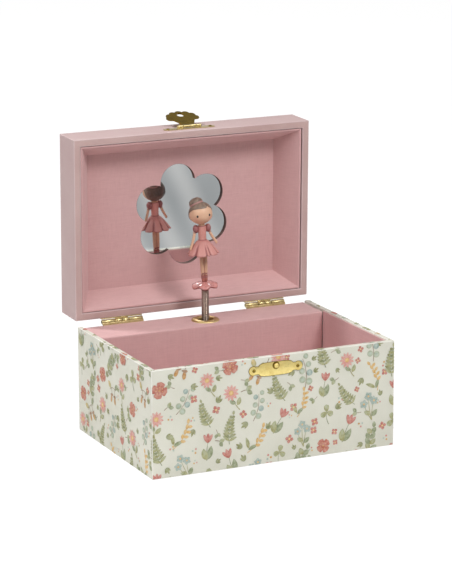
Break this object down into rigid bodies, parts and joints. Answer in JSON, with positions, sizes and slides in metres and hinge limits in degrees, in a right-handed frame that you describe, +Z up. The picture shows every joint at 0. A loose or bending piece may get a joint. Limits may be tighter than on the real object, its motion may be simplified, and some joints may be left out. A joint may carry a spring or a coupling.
{
  "type": "musical jewellery box",
  "caption": "Hinged-lid jewellery box with a mirrored lid, lined tray, brass latch and a wind-up musical movement that turns a ballerina figure on a spring post.",
  "frame": {"origin": "middle of the underside of the base", "axes": "X runs across the front from left to right, Y runs from the front to the back, Z is up"},
  "size_m": [0.18, 0.1613, 0.2143],
  "materials": {
    "printed_board": "board wrapped in matte printed paper",
    "plain_board": "plain pressed board",
    "lid_board": "board wrapped in matte pink paper",
    "lining_paper": "card with linen-textured pink paper",
    "lined_board": "board with linen-textured pink paper",
    "mirror_glass": "silvered glass",
    "fitting_brass": "stamped and plated",
    "movement_brass": "turned",
    "movement_steel": "hardened",
    "bed_metal": "cast",
    "fan_plastic": "moulded",
    "pedestal_plastic": "glossy moulded",
    "doll_plastic": "moulded and painted by hand"
  },
  "bodies": {
    "base": {"base_front_wall": "printed_board", "base_back_wall": "printed_board", "base_left_wall": "printed_board", "base_right_wall": "printed_board", "base_bottom": "plain_board", "tray_floor_lining": "lining_paper", "tray_left_lining": "lining_paper", "tray_right_lining": "lining_paper", "tray_front_lining": "lining_paper", "movement_cover_front": "lined_board", "movement_cover_top": "lined_board", "grommet": "fitting_brass", "latch_plate": "fitting_brass", "catch_knob": "fitting_brass", "base_nails": "fitting_brass", "left_hinge_base_leaf": "fitting_brass", "right_hinge_base_leaf": "fitting_brass", "left_hinge_pin": "fitting_brass", "right_hinge_pin": "fitting_brass", "bedplate": "bed_metal", "comb": "movement_steel", "movement_screws": "movement_steel", "spindle_bracket": "movement_steel"},
    "lid": {"lid_top": "lid_board", "lid_front_wall": "lid_board", "lid_back_wall": "lid_board", "lid_left_wall": "lid_board", "lid_right_wall": "lid_board", "lid_front_liner": "lining_paper", "lid_right_liner": "lining_paper", "lid_back_liner": "lining_paper", "lid_left_liner": "lining_paper", "mirror_panel": "lined_board", "mirror": "mirror_glass", "left_hinge_lid_leaf": "fitting_brass", "right_hinge_lid_leaf": "fitting_brass", "hasp_plate": "fitting_brass", "hasp_pin": "fitting_brass", "lid_nails": "fitting_brass"},
    "hasp": {"hasp": "fitting_brass"},
    "spring_post": {"post_spring": "movement_steel"},
    "figure": {"flower_pedestal": "pedestal_plastic", "doll": "doll_plastic"},
    "spindle": {"spindle": "movement_steel", "spindle_wheel": "movement_brass"},
    "cylinder": {"cylinder": "movement_brass", "cylinder_axle": "movement_steel", "drive_pinion": "movement_brass", "governor_wheel": "movement_brass", "spindle_pinion": "movement_brass"},
    "barrel": {"spring_barrel": "movement_brass", "barrel_cap": "movement_brass", "mainspring": "movement_steel"},
    "governor": {"governor_shaft": "movement_steel", "governor_fan": "fan_plastic"},
    "key": {"winding_arbor": "movement_steel", "winding_key": "fitting_brass"}
  },
  "joints": [
    {"name": "lid_hinge", "type": "hinge", "parent": "base", "child": "lid", "pos_m": [0, 0.0664, 0.0748], "axis": [1, 0, 0], "range_deg": [0, 89]},
    {"name": "hasp_hinge", "type": "hinge", "parent": "lid", "child": "hasp", "pos_m": [0, 0.07289, 0.20723], "axis": [1, 0, 0], "range_deg": [-10, 163]},
    {"name": "spring_bend", "type": "hinge", "parent": "base", "child": "spring_post", "pos_m": [0, 0.0475, 0.0835], "axis": [1, 0, 0], "range_deg": [0, 91.5], "deforming": ["post_spring"]},
    {"name": "figure_spin", "type": "hinge", "parent": "spring_post", "child": "figure", "pos_m": [0, 0.0475, 0.095], "axis": [-0.0523, 0, 0.9986], "continuous": true},
    {"name": "cylinder_turn", "type": "hinge", "parent": "base", "child": "cylinder", "pos_m": [-0.0172, 0.0475, 0.034], "axis": [1, 0, 0], "continuous": true},
    {"name": "barrel_turn", "type": "hinge", "parent": "base", "child": "barrel", "pos_m": [-0.0459, 0.0543, 0.034], "axis": [0, 1, 0], "continuous": true},
    {"name": "spindle_turn", "type": "hinge", "parent": "base", "child": "spindle", "pos_m": [0, 0.0475, 0.05], "axis": [0, 0, 1], "continuous": true},
    {"name": "governor_turn", "type": "hinge", "parent": "base", "child": "governor", "pos_m": [-0.0172, 0.0475, 0.044], "axis": [1, 0, 0], "continuous": true},
    {"name": "key_wind", "type": "hinge", "parent": "base", "child": "key", "pos_m": [-0.0459, 0.07, 0.034], "axis": [0, 1, 0], "continuous": true}
  ],
  "couplings": [
    {"joint": "spring_bend", "follows": "lid_hinge", "ratio": 1.0225},
    {"joint": "barrel_turn", "follows": "cylinder_turn", "ratio": -0.25},
    {"joint": "spindle_turn", "follows": "cylinder_turn", "ratio": 0.75},
    {"joint": "figure_spin", "follows": "cylinder_turn", "ratio": 0.75},
    {"joint": "governor_turn", "follows": "cylinder_turn", "ratio": -4}
  ]
}
